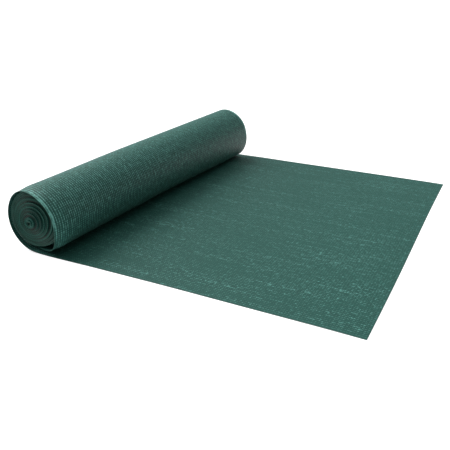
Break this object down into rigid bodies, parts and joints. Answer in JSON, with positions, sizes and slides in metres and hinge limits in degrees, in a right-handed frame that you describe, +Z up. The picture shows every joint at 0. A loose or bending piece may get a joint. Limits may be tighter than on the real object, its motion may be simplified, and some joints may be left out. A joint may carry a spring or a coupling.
{
  "type": "roll of knitted privacy and shade netting, partly unrolled",
  "caption": "Roll of green knitted screen netting lying on its side, its loose outer end drawn out flat on the floor; screens a fence or shades plants.",
  "frame": {"origin": "on the floor, under the middle of the box round the roll and its drawn-out end", "axes": "+Y along the roll, from the end nearer the camera to the far end; +X along the drawn-out end, away from the roll; +Z up"},
  "size_m": [0.8656, 1.0276, 0.167],
  "materials": {
    "green_knit": "open warp knit of flat plastic tape and thread, slight sheen"
  },
  "bodies": {
    "root": {"netting": "green_knit"}
  },
  "joints": []
}
